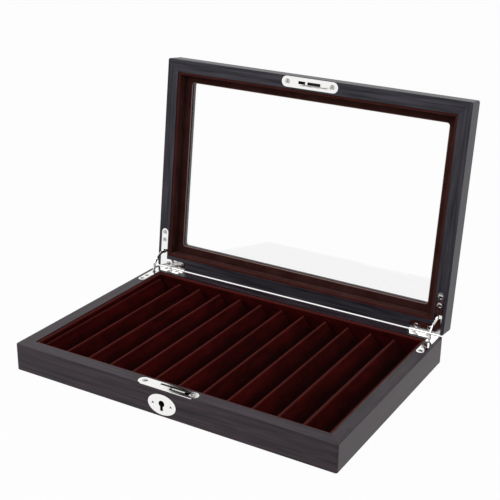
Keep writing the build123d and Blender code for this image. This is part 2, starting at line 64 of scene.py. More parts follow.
# lengths in mm
MERGE_GAP = 0.005
HALF_CREST = 0.3
SIDEWAYS_WAVE = 60
DIP_WAVE = 45
WALL_WAVE = 25
WALL_WAVER = 0.08
LEVEL_GAP = 0.05
WINDOW_MARGIN = 1.0
FLOOR_GAP = 0.1
FLOOR_SIZE = 12000

CHEST_MIDDLE = Vector((0, 0, 80)) * MM

# the dips of a crest take other noise than its sideways strays, and are a little smaller
DIP_SEED = 20
DIP_SHARE = 0.8

# painted light on the velvet, from 0 for painted shade deep in a slot to 1 for a painted highlight over
# an edge: on a plain wall, where the painted highlight starts, and at the foot and the top of a wrapped
# board
PLAIN_WALL_LIGHT = 0.6
HIGHLIGHT_START = 0.9
# painted light on the wrapped boards, at foot and top: in the base, painted shade at the foot and a painted
# highlight at the top; in the lid, a painted highlight at the foot and a little painted shade at the top
BASE_BOARD_LIGHT = (0.2, 0.97)
LID_BOARD_LIGHT = (0.93, 0.5)

# noise lies about a half, and mostly in this range
FROM_NOISE = {"From Min": 0.3, "From Max": 0.7}

# a Mix node's sockets for colours have the names of those for numbers, so they go by number
MIX_SHARE = 0
MIX_FIRST = 6
MIX_SECOND = 7
MIXED = 2

hinge = next(joint for joint in frame["joints"] if joint["name"] == "lid_hinge")
pin = Vector(hinge["pos_m"])
open_angle = radians(max(hinge["range_deg"]))


def linear(hex_colour):
    """An sRGB hex colour as linear red, green, blue and full alpha."""
    values = [int(hex_colour[i : i + 2], 16) / 255 for i in (1, 3, 5)]
    return tuple(v / 12.92 if v <= 0.04045 else ((v + 0.055) / 1.055) ** 2.4 for v in values) + (1.0,)


def colour(name, description, hex_colour):
    return FloatVectorProperty(
        name=name, description=description, default=linear(hex_colour), size=4, min=0, max=1,
        subtype="COLOR",
    )


def length(name, description, millimetres, low=0.0):
    return FloatProperty(
        name=name, description=description, default=millimetres * MM, min=low * MM,
        subtype="DISTANCE", unit="LENGTH",
    )


class ChestColours(bpy.types.PropertyGroup):
    """Colours of the chest's finishes, with painted shade for velvet and metal and painted highlights for
    the velvet.
    """

    wood: colour("Wood", "Black stain in the pores of the wood", "#170D15")
    wood_streak: colour("Wood streak", "Paler late wood under the stain", "#4A3D46")
    lid_wood: colour("Lid wood", "Stain on the lid, a little cooler", "#17151F")
    lid_streak: colour("Lid streak", "Paler late wood of the lid", "#4E4B54")
    # painted shade: the velvet's colour deep in the slots, nearly black
    velvet_painted_shade: colour("Velvet, deep", "Velvet seen into the pile, down in a slot", "#160001")
    velvet: colour("Velvet", "Velvet on a flank or wall", "#330504")
    velvet_nap: colour("Velvet nap", "Velvet where the pile is brushed over", "#520F0D")
    # painted light: the same velvet as in the base, drawn paler and greyer in the lid for the light through
    # the glass
    lid_velvet_painted_paler: colour("Lid velvet", "Velvet in the lid, its pile combed towards the light", "#40221F")
    lid_nap_painted_paler: colour("Lid nap", "Velvet in the lid where the pile is brushed over", "#50312D")
    # painted highlight: paler red velvet on crests and edges
    velvet_painted_highlight: colour("Velvet edge", "Velvet on a crest or edge, where the pile opens", "#6A2F2C")
    # painted highlight: pale velvet along the edge round the glass
    window_painted_highlight: colour("Window edge", "Velvet round the glass, worn pale at the edge", "#A08680")
    velvet_sheen: colour("Velvet sheen", "Light caught by the tips of the pile", "#C8A098")
    nickel: colour("Nickel", "Bright nickel plate", "#F4F3F2")
    # painted shade: the dark colour in the recesses and gaps of the plated parts
    crevice_painted_shade: colour("Tarnish", "Dull film left in the corners of the plated parts", "#1C1A19")
    screws: colour("Screws", "Nickelled screws", "#C9C7C4")
    steel: colour("Steel", "Oiled steel inside the lock", "#3C3B3A")
    glass: colour("Glass", "Body tint of the float glass", "#FFFFFF")
    felt: colour("Felt", "Felt under the base", "#1B1B1C")
    card: colour("Card", "Grey board under the velvet", "#6E6458")
    plywood: colour("Plywood", "Plain bottom panel", "#A98A63")
    floor: colour("Floor", "Floor and backdrop", "#F7F7F7")


class LiningSizes(bpy.types.PropertyGroup):
    """Sizes of the velvet lining."""

    crest_round: length("Crest round", "How softly the velvet turns over a ridge", 0.64)
    valley_round: length("Valley round", "How softly it turns in a slot", 1.6)
    end_round: length("End round", "How softly it falls over a ridge's end", 1.3)
    cloth: length("Cloth", "Thickness of the velvet", 0.6)
    wander: length("Wander", "How far a ridge's crest strays from a straight line", 0.22)
    edge_round: length("Edge round", "Round of a wrapped board's edges", 1.1)
    crown: length("Crown", "How far a wrapped board's face swells", 0.2)
    slot_columns: IntProperty(name="Slot columns", description="Columns of mesh in a slot",
                              default=36, min=12)
    rows: IntProperty(name="Rows", description="Rows of mesh along the slots", default=64, min=8)


class StageSettings(bpy.types.PropertyGroup):
    """Camera and lights."""

    azimuth: FloatProperty(name="Azimuth", description="Camera's turn to the right",
                           default=radians(28.661), subtype="ANGLE", unit="ROTATION")
    elevation: FloatProperty(name="Elevation", description="Camera's height angle", default=radians(21.361),
                             subtype="ANGLE", unit="ROTATION")
    roll: FloatProperty(name="Roll", description="Camera's tilt about its view", default=radians(1.574),
                        subtype="ANGLE", unit="ROTATION")
    distance: length("Distance", "From the camera to the point it looks at", 961.9)
    focal_pixels: FloatProperty(name="Focal length", description="In pixels of the picture", default=1065.0)
    target_x: length("Target X", "Point looked at, to the right", 49.6)
    target_z: length("Target Z", "Point looked at, upwards", 138.0)
    centre_x: FloatProperty(name="Centre X", description="Optical axis across the picture", default=280.9)
    centre_y: FloatProperty(name="Centre Y", description="Optical axis down the picture", default=244.0)
    floor_white: FloatProperty(name="Floor white",
                               description="Share of the floor that shows as plain white",
                               default=0.97, min=0, max=1, subtype="FACTOR")
    key_power: FloatProperty(name="Key power", description="Power of the key light", default=16.0,
                             subtype="POWER", unit="POWER")
    fill_power: FloatProperty(name="Fill power", description="Power of the fill light", default=3.2,
                              subtype="POWER", unit="POWER")
    room_dark: FloatProperty(name="Dark of the room",
                             description="What is left of the white behind the camera",
                             default=0.25, min=0, max=1, subtype="FACTOR")
    ambient: FloatProperty(name="Ambient", description="Strength of the room's soft light",
                           default=0.25, min=0)


# ---- nodes and materials


def add_node(tree, kind, inputs=None, stops=(), **settings):
    """Adds a node, sets it, and links or fills its inputs, by name or by number. A node given as
    an input stands for its first output. Stops are the places and colours of a colour ramp."""
    made = tree.nodes.new(kind)
    for name, value in settings.items():
        setattr(made, name, value)
    for number, (place, tone) in enumerate(stops):
        made.color_ramp.elements[number].position = place
        made.color_ramp.elements[number].color = tone
    for name, value in (inputs or {}).items():
        source = value.outputs[0] if isinstance(value, bpy.types.Node) else value
        if isinstance(source, bpy.types.NodeSocket):
            tree.links.new(source, made.inputs[name])
        else:
            made.inputs[name].default_value = source
    return made


def new_material(name):
    """An empty node material and its tree."""
    material = bpy.data.materials.new(name)
    material.use_nodes = True
    material.node_tree.nodes.clear()
    return material, material.node_tree


def finish_material(material, tree, shader):
    add_node(tree, "ShaderNodeOutputMaterial", {"Surface": shader})
    return material


def pattern(tree, size_mm, turn=0.0, detail=3.0, roughness=0.5):
    """Noise whose grains have this size along X, Y and Z, on a piece turned about X."""
    place = add_node(tree, "ShaderNodeTexCoord").outputs["Object"]
    turned = add_node(tree, "ShaderNodeMapping", {"Vector": place, "Rotation": (turn, 0, 0)})
    scale = tuple(1 / (size * MM) for size in size_mm)
    sized = add_node(tree, "ShaderNodeMapping", {"Vector": turned, "Scale": scale})
    grains = add_node(tree, "ShaderNodeTexNoise",
                      {"Vector": sized, "Scale": 1.0, "Detail": detail, "Roughness": roughness})
    return grains.outputs["Fac"]


def darker(tone, share):
    """A colour with this share of its light."""
    return tuple(share * channel for channel in tone[:3]) + (1.0,)


def ebonised_wood(name, stains, streak_mm, pore_mm, turn=0.0):
    """Close-grained wood, stained black and sprayed with a thin satin lacquer: soft streaks under
    a broad dull shine, and pores that show only where light rakes across them."""
    material, tree = new_material(name)
    streaks = pattern(tree, streak_mm, turn, detail=4.0, roughness=0.6)
    pores = pattern(tree, pore_mm, turn, detail=2.0)
    stain = add_node(tree, "ShaderNodeValToRGB", {"Fac": streaks}, zip((0.33, 0.68), stains))
    lacquer = add_node(tree, "ShaderNodeMapRange",
                       {"Value": streaks, **FROM_NOISE, "To Min": 0.34, "To Max": 0.48})
    pits = add_node(tree, "ShaderNodeBump", {"Height": pores, "Distance": 0.03 * MM, "Strength": 0.6})
    shader = add_node(tree, "ShaderNodeBsdfPrincipled", {
        "Base Color": stain,
        "Roughness": lacquer,
        "IOR": 1.5,
        "Specular IOR Level": 0.26,
        "Normal": pits,
    })
    return finish_material(material, tree, shader)


def cut_velvet(name, lay_mm, in_lid=False, highlight_colour=None):
    """Short cotton velvet glued to card: painted shade, nearly black, down in the slots, red where the tips
    catch light, brushed over in patches, and a painted highlight, pale and fuzzy, where it bends over an
    edge."""
    colours = bpy.context.scene.chest_colours
    # in the lid, paler and greyer colours are painted for the light through the glass
    wall, nap = (colours.lid_velvet_painted_paler, colours.lid_nap_painted_paler) if in_lid else (colours.velvet, colours.velvet_nap)
    material, tree = new_material(name)
    lay = pattern(tree, lay_mm, detail=4.0, roughness=0.65)
    body = add_node(tree, "ShaderNodeValToRGB", {"Fac": lay}, [(0.38, tuple(wall)), (0.68, tuple(nap))])
    painted_light_level = add_node(tree, "ShaderNodeAttribute", attribute_name="painted_light_level").outputs["Fac"]
    # painted shade: the colour darkens towards the bottom of the slots, by each point's level of painted
    # light
    shade = add_node(tree, "ShaderNodeMapRange", {"Value": painted_light_level, "From Max": PLAIN_WALL_LIGHT})
    lit = add_node(tree, "ShaderNodeMix",
                   {MIX_SHARE: shade, MIX_FIRST: tuple(colours.velvet_painted_shade), MIX_SECOND: body},
                   data_type="RGBA").outputs[MIXED]
    # painted highlight: a paler colour mixed in on crests and over edges
    edge = add_node(tree, "ShaderNodeMapRange", {"Value": painted_light_level, "From Min": HIGHLIGHT_START})
    painted_highlight_tone = tuple(highlight_colour or colours.velvet_painted_highlight)
    pile = add_node(tree, "ShaderNodeMix", {MIX_SHARE: edge, MIX_FIRST: lit, MIX_SECOND: painted_highlight_tone},
                    data_type="RGBA").outputs[MIXED]
    # the pile's tufts are about 0.2 mm, drawn three times as coarse so that they show
    tufts = pattern(tree, (0.6, 0.6, 0.6), detail=2.0)
    nubs = add_node(tree, "ShaderNodeBump", {"Height": tufts, "Distance": 0.12 * MM, "Strength": 0.8})
    shader = add_node(tree, "ShaderNodeBsdfPrincipled", {
        "Base Color": pile,
        "Roughness": 0.95,
        "Specular IOR Level": 0.05,
        "Sheen Weight": 0.6 if in_lid else 0.4,
        "Sheen Roughness": 0.3,
        "Sheen Tint": tuple(colours.velvet_sheen),
        "Normal": nubs,
    })
    return finish_material(material, tree, shader)


def bright_nickel(name, tone, shade_reach_mm=0.7, polish=(0.06, 0.14)):
    """Stamped brass with bright nickel plate: a clear mirror with faint polishing waves, and painted shade,
    dull and dark, in screw recesses and gaps, drawn from ambient occlusion."""
    colours = bpy.context.scene.chest_colours
    material, tree = new_material(name)
    # painted shade: ambient occlusion darkens the plate in screw recesses, gaps and corners
    crevice_occlusion = add_node(tree, "ShaderNodeAmbientOcclusion", {"Distance": shade_reach_mm * MM}, samples=8)
    unshaded_share = add_node(tree, "ShaderNodeMapRange",
                     {"Value": crevice_occlusion.outputs["AO"], "From Min": 0.45, "From Max": 0.85})
    plate = add_node(tree, "ShaderNodeMix",
                     {MIX_SHARE: unshaded_share, MIX_FIRST: tuple(colours.crevice_painted_shade), MIX_SECOND: tone},
                     data_type="RGBA").outputs[MIXED]
    scuffs = pattern(tree, (0.4, 3.0, 0.4), detail=4.0)
    polished = add_node(tree, "ShaderNodeMapRange",
                        {"Value": scuffs, **FROM_NOISE, "To Min": polish[0], "To Max": polish[1]})
    waves = pattern(tree, (9.0, 9.0, 9.0), detail=1.0)
    face = add_node(tree, "ShaderNodeBump", {"Height": waves, "Distance": 0.02 * MM, "Strength": 0.3})
    shader = add_node(tree, "ShaderNodeBsdfPrincipled", {
        "Base Color": plate,
        "Metallic": 1.0,
        "Roughness": polished,
        "Normal": face,
    })
    return finish_material(material, tree, shader)


def oiled_steel(name):
    """Oiled, darkened steel of the lock's inner parts, dull and slightly streaked."""
    colours = bpy.context.scene.chest_colours
    material, tree = new_material(name)
    streaks = pattern(tree, (12.0, 0.5, 0.5), detail=4.0)
    oiled = add_node(tree, "ShaderNodeMapRange",
                     {"Value": streaks, **FROM_NOISE, "To Min": 0.28, "To Max": 0.42})
    face = add_node(tree, "ShaderNodeBump", {"Height": streaks, "Distance": 0.02 * MM, "Strength": 0.5})
    shader = add_node(tree, "ShaderNodeBsdfPrincipled", {
        "Base Color": tuple(colours.steel),
        "Metallic": 1.0,
        "Roughness": oiled,
        "Normal": face,
    })
    return finish_material(material, tree, shader)


def float_glass(name):
    """Clear float glass: almost no colour, a sharp reflection at a slant."""
    colours = bpy.context.scene.chest_colours
    material, tree = new_material(name)
    smears = pattern(tree, (40.0, 40.0, 40.0), detail=3.0)
    wiped = add_node(tree, "ShaderNodeMapRange",
                     {"Value": smears, **FROM_NOISE, "To Min": 0.0, "To Max": 0.015})
    shader = add_node(tree, "ShaderNodeBsdfPrincipled", {
        "Base Color": tuple(colours.glass),
        "Roughness": wiped,
        "IOR": 1.5,
        "Transmission Weight": 1.0,
    })
    return finish_material(material, tree, shader)


def pressed_felt(name):
    """Pressed wool felt: matte, with short fibres lying every way."""
    tone = tuple(bpy.context.scene.chest_colours.felt)
    material, tree = new_material(name)
    # wool's fibres are a few hundredths of a millimetre thick, drawn as tufts so that they show
    fibres = pattern(tree, (0.8, 0.8, 0.8), detail=5.0, roughness=0.7)
    wool = add_node(tree, "ShaderNodeValToRGB", {"Fac": fibres}, [(0.35, darker(tone, 0.7)), (0.65, tone)])
    face = add_node(tree, "ShaderNodeBump", {"Height": fibres, "Distance": 0.2 * MM, "Strength": 0.8})
    shader = add_node(tree, "ShaderNodeBsdfPrincipled", {
        "Base Color": wool,
        "Roughness": 1.0,
        "Specular IOR Level": 0.1,
        "Sheen Weight": 0.15,
        "Normal": face,
    })
    return finish_material(material, tree, shader)


def grey_board(name):
    """Pulp board with flecks, as it lies under the velvet."""
    tone = tuple(bpy.context.scene.chest_colours.card)
    material, tree = new_material(name)
    flecks = pattern(tree, (1.2, 1.2, 1.2), detail=5.0)
    pulp = add_node(tree, "ShaderNodeValToRGB", {"Fac": flecks}, [(0.35, darker(tone, 0.8)), (0.65, tone)])
    face = add_node(tree, "ShaderNodeBump", {"Height": flecks, "Distance": 0.05 * MM, "Strength": 0.5})
    shader = add_node(tree, "ShaderNodeBsdfPrincipled", {
        "Base Color": pulp,
        "Roughness": 0.9,
        "Normal": face,
    })
    return finish_material(material, tree, shader)


def plain_plywood(name):
    """Sanded birch plywood: pale, with long soft figure."""
    tone = tuple(bpy.context.scene.chest_colours.plywood)
    material, tree = new_material(name)
    figure = pattern(tree, (70.0, 5.0, 5.0), detail=5.0, roughness=0.6)
    birch = add_node(tree, "ShaderNodeValToRGB", {"Fac": figure}, [(0.3, darker(tone, 0.75)), (0.7, tone)])
    sanded = add_node(tree, "ShaderNodeMapRange",
                      {"Value": figure, **FROM_NOISE, "To Min": 0.55, "To Max": 0.7})
    face = add_node(tree, "ShaderNodeBump", {"Height": figure, "Distance": 0.03 * MM, "Strength": 0.5})
    shader = add_node(tree, "ShaderNodeBsdfPrincipled", {
        "Base Color": birch,
        "Roughness": sanded,
        "Normal": face,
    })
    return finish_material(material, tree, shader)


# ---- modelling


def deselect():
    if bpy.context.object and bpy.context.object.mode != "OBJECT":
        bpy.ops.object.mode_set(mode="OBJECT")
    bpy.ops.object.select_all(action="DESELECT")


def make_active(piece):
    deselect()
    piece.select_set(True)
    bpy.context.view_layer.objects.active = piece


def apply_modifiers(piece):
    make_active(piece)
    for modifier in list(piece.modifiers):
        bpy.ops.object.modifier_apply(modifier=modifier.name)


def copy_of_node(node, name):
    """A merged and cleaned copy of a CAD node, ready to be shaped."""
    source = frame["nodes"][node]
    piece = bpy.data.objects.new(name, source.data.copy())
    bpy.context.scene.collection.objects.link(piece)
    piece.data.materials.clear()
    make_active(piece)
    bpy.ops.object.mode_set(mode="EDIT")
    bpy.ops.mesh.select_all(action="SELECT")
    bpy.ops.mesh.remove_doubles(threshold=MERGE_GAP * MM)
    bpy.ops.mesh.dissolve_limited(angle_limit=radians(1))
    bpy.ops.object.mode_set(mode="OBJECT")
    return piece


def new_piece(name, points, faces):
    """A mesh object from points and faces, with its normals outwards."""
    mesh = bpy.data.meshes.new(name)
    mesh.from_pydata(points, [], faces)
    piece = bpy.data.objects.new(name, mesh)
    bpy.context.scene.collection.objects.link(piece)
    make_active(piece)
    bpy.ops.object.mode_set(mode="EDIT")
    bpy.ops.mesh.select_all(action="SELECT")
    bpy.ops.mesh.normals_make_consistent(inside=False)
    bpy.ops.object.mode_set(mode="OBJECT")
    return piece


def smooth(piece, degrees_between=35):
    make_active(piece)
    bpy.ops.object.shade_smooth_by_angle(angle=radians(degrees_between))


def opened(point):
    """From the closed lid to the lid as it stands open."""
    return pin + Matrix.Rotation(-open_angle, 3, "X") @ (Vector(point) - pin)


def closed(point):
    """From the open lid back to the closed one."""
    return pin + Matrix.Rotation(open_angle, 3, "X") @ (Vector(point) - pin)


def node_span(node, back_to_closed=False):
    """Lowest and highest corner of a node, also of one in the lid as if it were closed."""
    vertices = [v.co for v in frame["nodes"][node].data.vertices]
    if back_to_closed:
        vertices = [closed(v) for v in vertices]
    low = [min(v[i] for v in vertices) for i in range(3)]
    high = [max(v[i] for v in vertices) for i in range(3)]
    return low, high


def stray(place, seed, scale_mm):
    """Smooth seeded noise from -1 to 1 at a place along a piece."""
    return noise.noise(Vector((place / (scale_mm * MM), seed * 7.31, 0.5)))


def ridge_lines():
    """Middle lines of all crests, those at the side walls too."""
    names = sorted(n for n in frame["nodes"] if n.startswith("pen_ridge_"))
    middles = []
    for name in names:
        low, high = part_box(name)
        middles.append((low[0] + high[0]) / 2)
    left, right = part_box("tray_velvet")[0][0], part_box("tray_velvet")[1][0]
    return [left] + middles + [right]


def crest_wander(index, y, last, sizes):
    """How far crest number index strays sideways at y. The two at the walls don't."""
    return sizes.wander * stray(y, index, SIDEWAYS_WAVE) if 0 < index < last else 0.0


def tray_facts():
    """What the velvet's shape follows: its box, the slots' floor, the crests' middle lines, the
    flanks' slope and the ridges' end."""
    low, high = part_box("tray_velvet")
    ridge_low, ridge_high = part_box("pen_ridge_01")
    board_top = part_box("tray_board")[1][2]
    pile = high[2] - ridge_high[2]
    floor = board_top + pile
    lines = ridge_lines()
    half_base = (ridge_high[0] - ridge_low[0]) / 2
    slope = (ridge_high[2] - ridge_low[2]) / (half_base - HALF_CREST * MM)
    return low, high, floor, lines, slope, ridge_high[1]


def tray_profile(x, y, facts, wanders, sizes):
    """Height of the velvet at a point of the tray."""
    _, high, floor, lines, slope, ridge_end = facts
    nearest = min(range(len(lines)), key=lambda i: abs(x - lines[i] - wanders[i]))
    away = abs(x - lines[nearest] - wanders[nearest])
    crest = high[2] - abs(stray(y, nearest + DIP_SEED, DIP_WAVE)) * DIP_SHARE * sizes.wander
    flank = crest - slope * (hypot(away, sizes.crest_round) - sizes.crest_round)
    rise = flank - floor
    height = 0.5 * (rise + hypot(rise, sizes.valley_round))
    beyond = (abs(y) - (ridge_end - 0.5 * sizes.end_round)) / sizes.end_round
    if beyond > 0:
        height *= sqrt(max(0.0, 1 - min(1.0, beyond) ** 2))
    return floor + height


def velvet_rows(low, high, ridge_end, sizes):
    """Rows along the slots, close together at the ridges' ends."""
    end_rows = 9
    start = ridge_end - 0.6 * sizes.end_round
    stop = ridge_end + 0.5 * sizes.end_round
    middle = [-start + 2 * start * i / sizes.rows for i in range(sizes.rows + 1)]
    step = (stop - start) / end_rows
    edge = [start + step * sin(0.5 * pi * i / end_rows) * end_rows for i in range(1, end_rows + 1)]
    rows = [-y for y in reversed(edge)] + middle + edge
    return [low[1]] + rows + [high[1]]


def lay_tray_velvet():
    """One sheet of velvet over board and ridges."""
    sizes = bpy.context.scene.lining_sizes
    facts = tray_facts()
    low, high, floor, lines, _, ridge_end = facts
    count = sizes.slot_columns
    columns = []
    for left, right in zip(lines, lines[1:]):
        columns += [left + (right - left) * i / count for i in range(count)]
    columns.append(lines[-1])
    rows = velvet_rows(low, high, ridge_end, sizes)
    points = []
    for y in rows:
        wanders = [crest_wander(i, y, len(lines) - 1, sizes) for i in range(len(lines))]
        points += [(x, y, tray_profile(x, y, facts, wanders, sizes)) for x in columns]
    wide = len(columns)
    faces = []
    for row in range(len(rows) - 1):
        for column in range(wide - 1):
            first = row * wide + column
            faces.append((first, first + 1, first + wide + 1, first + wide))
    piece = new_piece("slot_velvet", points, faces)
    # painted light by height: painted shade low in the slots, a painted highlight on the crests
    mark_painted_light(piece, [(z - floor) / (high[2] - floor) for x, y, z in points])
    flip_if_down(piece)
    thicken = piece.modifiers.new("cloth", "SOLIDIFY")
    thicken.thickness = sizes.cloth
    thicken.offset = -1.0
    apply_modifiers(piece)
    smooth(piece, 60)
    return piece


def mark_painted_light(piece, shares):
    """Gives each point its level of painted light: 0 for painted shade deep in a slot, 1 for a painted
    highlight over an edge.
    """
    layer = piece.data.attributes.new("painted_light_level", "FLOAT", "POINT")
    layer.data.foreach_set("value", shares)


def flip_if_down(piece):
    """An open sheet's normals are made to point up."""
    if piece.data.polygons[0].normal.z < 0:
        piece.data.flip_normals()


def board_section(thick, tall, sizes, foot, top):
    """Cross-section of a wrapped board: depth from its glued face, height, and its level of painted
    light, between a level at its foot and one at its top."""
    bend = min(sizes.edge_round, thick * 0.45)
    section = [(0.0, 0.0, foot)]
    steps = 5
    for corner_height, start, share in ((bend, -pi / 2, foot), (tall - bend, 0.0, top)):
        for step in range(steps + 1):
            angle = start + 0.5 * pi * step / steps
            place = thick - bend + bend * cos(angle), corner_height + bend * sin(angle)
            section.append((*place, share))
        if corner_height == bend:
            for part in (0.1, 0.3, 0.5, 0.7, 0.9):
                swell = sizes.crown * sin(pi * part)
                low, high = min(foot, PLAIN_WALL_LIGHT), min(top, PLAIN_WALL_LIGHT)
                wall = low + (high - low) * part
                section.append((thick + swell, bend + (tall - 2 * bend) * part, wall))
    section.append((0.0, tall, top))
    return section


def wrapped_board(name, low, high, side, lid=False):
    """A board wrapped in velvet, mitred at both ends, with its soft face inwards."""
    sizes = bpy.context.scene.lining_sizes
    along = 0 if side in ("front", "back") else 1
    across = 1 - along
    inward = 1 if side in ("front", "left") else -1
    outer = low[across] if inward > 0 else high[across]
    thick = high[across] - low[across]
    half = (high[along] - low[along]) / 2
    middle = (high[along] + low[along]) / 2
    # painted shade and painted highlight at the board's foot and top
    foot, top = LID_BOARD_LIGHT if lid else BASE_BOARD_LIGHT
    section = board_section(thick - sizes.crown, high[2] - low[2], sizes, foot, top)
    stations = 48
    points = []
    shares = []
    for station in range(stations + 1):
        way = -1 + 2 * station / stations
        for number, (depth, height, share) in enumerate(section):
            place = middle + way * (half - depth)
            soft = depth > 0.5 * thick
            waver = WALL_WAVER * MM * stray(place, number + len(name), WALL_WAVE) if soft else 0.0
            point = [0.0, 0.0, low[2] + height]
            point[along] = place
            point[across] = outer + inward * (depth + waver)
            points.append(tuple(opened(point)) if lid else tuple(point))
            shares.append(share)
    wide = len(section)
    faces = []
    for station in range(stations):
        for number in range(wide):
            first = station * wide + number
            second = station * wide + (number + 1) % wide
            faces.append((first, second, second + wide, first + wide))
    faces.append(tuple(reversed(range(wide))))
    faces.append(tuple(stations * wide + number for number in range(wide)))
    piece = new_piece(name, points, faces)
    mark_painted_light(piece, shares)
    smooth(piece, 50)
    return piece


def give(piece, material, body=None, replaced=()):
    """Finishes a piece and ties it to its body."""
    piece.data.materials.append(material)
    if body:
        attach(piece, body)
    if replaced:
        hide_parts(*replaced)


def paint_nodes(nodes, material):
    """Gives CAD nodes a finish."""
    for node in nodes:
        target = frame["nodes"][node]
        for material_slot in target.material_slots:
            material_slot.material = material


def nodes_named(*words):
    return [n for n in frame["nodes"] if any(word in n for word in words)]


# ---- operators


class PaintWood(bpy.types.Operator):
    """Stains and lacquers the rails and the lid's top, with the grain along each board"""

    bl_idname = "pen_chest.paint_wood"
    bl_label = "Paint wood"

    def execute(self, context):
        across = (70.0, 3.2, 3.2), (9.0, 0.5, 0.5)
        along = (3.2, 70.0, 3.2), (0.5, 9.0, 0.5)
        front_back = ("front_rail", "back_rail")
        sides = ("left_rail", "right_rail")
        colours = context.scene.chest_colours
        base = tuple(colours.wood), tuple(colours.wood_streak)
        lid = tuple(colours.lid_wood), tuple(colours.lid_streak)
        base_x = ebonised_wood("Ebonised wood, base, long rails", base, *across)
        base_y = ebonised_wood("Ebonised wood, base, side rails", base, *along)
        lid_x = ebonised_wood("Ebonised wood, lid, long rails", lid, *across, open_angle)
        lid_y = ebonised_wood("Ebonised wood, lid, side rails", lid, *along, open_angle)
        paint_nodes([f"base_{name}" for name in front_back], base_x)
        paint_nodes([f"base_{name}" for name in sides], base_y)
        paint_nodes([f"lid_{name}" for name in front_back] + ["lid_top_panel"], lid_x)
        paint_nodes([f"lid_{name}" for name in sides], lid_y)
        paint_nodes(["base_bottom_panel"], plain_plywood("Birch plywood"))
        return {"FINISHED"}


class PlateMetal(bpy.types.Operator):
    """Plates hinges, stays, bolt, lock plate, strike and key plate, and oils lock and nails"""

    bl_idname = "pen_chest.plate_metal"
    bl_label = "Plate metal"

    def execute(self, context):
        inside = ["lock_case", "lock_cover", "lock_posts", "bolt_spring", "escutcheon_nails"]
        colours = context.scene.chest_colours
        nickel = tuple(colours.nickel)
        plates = nodes_named("stay_arm", "lock_plate", "strike_plate", "escutcheon")
        plates.remove("escutcheon_nails")
        paint_nodes(plates, bright_nickel("Bright nickel plate", nickel))
        paint_nodes(nodes_named("_leaf_", "hinge_pin"), bright_nickel("Bright nickel hinge", nickel, 1.5))
        paint_nodes(nodes_named("screws"), bright_nickel("Nickelled screws", tuple(colours.screws)))
        paint_nodes(["lock_bolt"], bright_nickel("Satin bolt", nickel, 0.1, (0.38, 0.5)))
        paint_nodes(inside, oiled_steel("Oiled steel"))
        return {"FINISHED"}


class SetGlass(bpy.types.Operator):
    """Makes the pane clear float glass"""

    bl_idname = "pen_chest.set_glass"
    bl_label = "Set glass"

    def execute(self, context):
        paint_nodes(["glass_pane"], float_glass("Float glass"))
        return {"FINISHED"}


class LayTrayVelvet(bpy.types.Operator):
    """Lays one sheet of velvet over the tray's board and ridges"""

    bl_idname = "pen_chest.lay_tray_velvet"
    bl_label = "Lay tray velvet"

    def execute(self, context):
        piece = lay_tray_velvet()
        give(piece, cut_velvet("Cut velvet, slots", (30.0, 45.0, 12.0)), "base", ["tray_velvet"])
        under = ["tray_board"] + nodes_named("_ridge")
        paint_nodes(under, grey_board("Grey board"))
        return {"FINISHED"}


class WrapLiners(bpy.types.Operator):
    """Wraps the lining boards of base and lid in velvet"""

    bl_idname = "pen_chest.wrap_liners"
    bl_label = "Wrap liners"

    def execute(self, context):
        base_velvet = cut_velvet("Cut velvet, base walls", (25.0, 25.0, 10.0))
        lid_velvet_painted_paler = cut_velvet("Cut velvet, lid walls", (25.0, 10.0, 25.0), True)
        for side in ("front", "back", "left", "right"):
            for body, lid, velvet in (("base", False, base_velvet), ("lid", True, lid_velvet_painted_paler)):
                node = f"{body}_liner_{side}"
                low, high = node_span(node, lid)
                piece = wrapped_board(f"{body}_wall_velvet_{side}", low, high, side, lid)
                give(piece, velvet, body, [node])
        return {"FINISHED"}


class WrapWindowFrame(bpy.types.Operator):
    """Wraps the frame round the glass in velvet, soft at the window's edge"""

    bl_idname = "pen_chest.wrap_window_frame"
    bl_label = "Wrap window frame"

    def execute(self, context):
        sizes = context.scene.lining_sizes
        piece = copy_of_node("lid_inner_frame", "window_frame_velvet")
        low, high = node_span("lid_inner_frame", True)
        select_window_edges(piece, low[2], high)
        bpy.ops.object.mode_set(mode="EDIT")
        bpy.ops.mesh.bevel(offset=sizes.edge_round, segments=5, affect="EDGES")
        bpy.ops.object.mode_set(mode="OBJECT")
        heights = [closed(v.co).z - low[2] for v in piece.data.vertices]
        bend = sizes.edge_round
        # painted highlight on the rounded edge round the glass; the rest of the frame at the plain wall
        # level
        shares = [1.0 if 0.02 * bend < height < 0.98 * bend else PLAIN_WALL_LIGHT for height in heights]
        mark_painted_light(piece, shares)
        smooth(piece, 50)
        velvet = cut_velvet("Cut velvet, window frame", (25.0, 10.0, 25.0), True,
                            context.scene.chest_colours.window_painted_highlight)
        give(piece, velvet, "lid", ["lid_inner_frame"])
        return {"FINISHED"}


def select_window_edges(piece, face_height, high):
    """Selects the edges between the frame's visible face and the window's wall."""
    mesh = piece.data
    margin = WINDOW_MARGIN * MM
    places = [closed(v.co) for v in mesh.vertices]
    level = [abs(p.z - face_height) < LEVEL_GAP * MM for p in places]
    inside = [abs(p.x) < high[0] - margin and abs(p.y) < high[1] - margin for p in places]
    for vertex in mesh.vertices:
        vertex.select = False
    for polygon in mesh.polygons:
        polygon.select = False
    for edge in mesh.edges:
        a, b = edge.vertices
        edge.select = level[a] and level[b] and inside[a] and inside[b]
    bpy.context.tool_settings.mesh_select_mode = (False, True, False)


